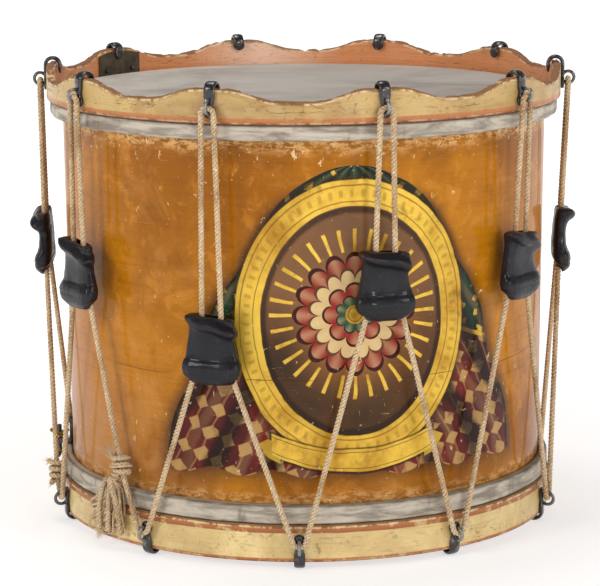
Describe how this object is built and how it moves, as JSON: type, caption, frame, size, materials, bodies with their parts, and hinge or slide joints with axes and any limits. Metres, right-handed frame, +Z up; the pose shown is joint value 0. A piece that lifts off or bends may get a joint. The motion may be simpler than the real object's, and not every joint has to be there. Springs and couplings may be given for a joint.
{
  "type": "field drum",
  "caption": "Rope-tensioned wooden field drum with a scalloped top hoop, iron hooks, sliding leather ears, two skin heads, snares and a thumb-nut strainer, standing on its lower hooks.",
  "frame": {"origin": "on the drum's axis, at the floor that the lower hooks stand on", "axes": "+Z up along the drum's axis, -Y to the front, where one lower hook stands"},
  "size_m": [0.4613, 0.4464, 0.3865],
  "materials": {
    "shell_wood": "varnished, worn",
    "hoop_wood": "painted, worn",
    "plain_wood": "bare",
    "head_skin": "matt",
    "iron": "dark, satin",
    "ear_leather": "semi-gloss, worn",
    "brown_leather": "matt",
    "hemp": "twisted cord",
    "gut": "satin",
    "brass": "tarnished"
  },
  "bodies": {
    "drum": {"shell": "shell_wood", "bottom_reinforcing_ring": "plain_wood", "top_reinforcing_ring": "plain_wood", "vent_grommet": "brass", "batter_head": "head_skin", "snare_head": "head_skin", "batter_flesh_hoop": "plain_wood", "snare_flesh_hoop": "plain_wood", "top_counter_hoop": "hoop_wood", "hoop_patch": "brown_leather", "patch_nail_1": "iron", "patch_nail_2": "iron", "bottom_counter_hoop": "hoop_wood", "top_hook_1": "iron", "top_hook_2": "iron", "top_hook_3": "iron", "top_hook_4": "iron", "top_hook_5": "iron", "top_hook_6": "iron", "top_hook_7": "iron", "top_hook_8": "iron", "top_hook_9": "iron", "top_hook_10": "iron", "bottom_hook_1": "iron", "bottom_hook_2": "iron", "bottom_hook_3": "iron", "bottom_hook_4": "iron", "bottom_hook_5": "iron", "bottom_hook_6": "iron", "bottom_hook_7": "iron", "bottom_hook_8": "iron", "bottom_hook_9": "iron", "bottom_hook_10": "iron", "tension_rope": "hemp", "rope_start_knot": "hemp", "rope_tie_knot": "hemp", "rope_tail": "hemp", "strainer_plate": "iron", "strainer_screw_1": "iron", "strainer_screw_2": "iron", "snares": "gut", "snare_butt": "brown_leather"},
    "ear_1_body": {"ear_1": "ear_leather"},
    "ear_2_body": {"ear_2": "ear_leather"},
    "ear_3_body": {"ear_3": "ear_leather"},
    "ear_4_body": {"ear_4": "ear_leather"},
    "ear_5_body": {"ear_5": "ear_leather"},
    "ear_6_body": {"ear_6": "ear_leather"},
    "ear_7_body": {"ear_7": "ear_leather"},
    "ear_8_body": {"ear_8": "ear_leather"},
    "ear_9_body": {"ear_9": "ear_leather"},
    "ear_10_body": {"ear_10": "ear_leather"},
    "thumb_nut_body": {"thumb_nut": "brass"},
    "strainer_hook_body": {"strainer_hook": "iron"}
  },
  "joints": [
    {"name": "ear_1_slide", "type": "slide", "parent": "drum", "child": "ear_1_body", "axis": [0.016, -0.0493, 0.9987], "range_m": [-0.0978, 0.0902], "deforming": ["tension_rope"]},
    {"name": "ear_2_slide", "type": "slide", "parent": "drum", "child": "ear_2_body", "axis": [0.0419, -0.0305, 0.9987], "range_m": [-0.0999, 0.0881], "deforming": ["tension_rope"]},
    {"name": "ear_3_slide", "type": "slide", "parent": "drum", "child": "ear_3_body", "axis": [0.0518, 0, 0.9987], "range_m": [-0.0999, 0.0881], "deforming": ["tension_rope"]},
    {"name": "ear_4_slide", "type": "slide", "parent": "drum", "child": "ear_4_body", "axis": [0.0419, 0.0305, 0.9987], "range_m": [-0.095, 0.093], "deforming": ["tension_rope"]},
    {"name": "ear_5_slide", "type": "slide", "parent": "drum", "child": "ear_5_body", "axis": [0.016, 0.0493, 0.9987], "range_m": [-0.0891, 0.0989], "deforming": ["tension_rope"]},
    {"name": "ear_6_slide", "type": "slide", "parent": "drum", "child": "ear_6_body", "axis": [-0.016, 0.0493, 0.9987], "range_m": [-0.0981, 0.0899], "deforming": ["tension_rope"]},
    {"name": "ear_7_slide", "type": "slide", "parent": "drum", "child": "ear_7_body", "axis": [-0.0419, 0.0305, 0.9987], "range_m": [-0.0912, 0.0968], "deforming": ["tension_rope"]},
    {"name": "ear_8_slide", "type": "slide", "parent": "drum", "child": "ear_8_body", "axis": [-0.0518, 0, 0.9987], "range_m": [-0.0981, 0.0899], "deforming": ["tension_rope"]},
    {"name": "ear_9_slide", "type": "slide", "parent": "drum", "child": "ear_9_body", "axis": [-0.0419, -0.0305, 0.9987], "range_m": [-0.0925, 0.0955], "deforming": ["tension_rope"]},
    {"name": "ear_10_slide", "type": "slide", "parent": "drum", "child": "ear_10_body", "axis": [-0.016, -0.0493, 0.9987], "range_m": [-0.0465, 0.1415], "deforming": ["tension_rope"]},
    {"name": "thumb_nut_turn", "type": "hinge", "parent": "drum", "child": "thumb_nut_body", "pos_m": [-0.21328, 0, 0.05592], "axis": [0, 0, 1], "range_deg": [-1088, 1088]},
    {"name": "strainer_hook_slide", "type": "slide", "parent": "drum", "child": "strainer_hook_body", "axis": [0, 0, 1], "range_m": [-0.003, 0.003], "deforming": ["snares"]}
  ],
  "couplings": [
    {"joint": "thumb_nut_turn", "follows": "strainer_hook_slide", "rad_per_m": 6283.2}
  ]
}
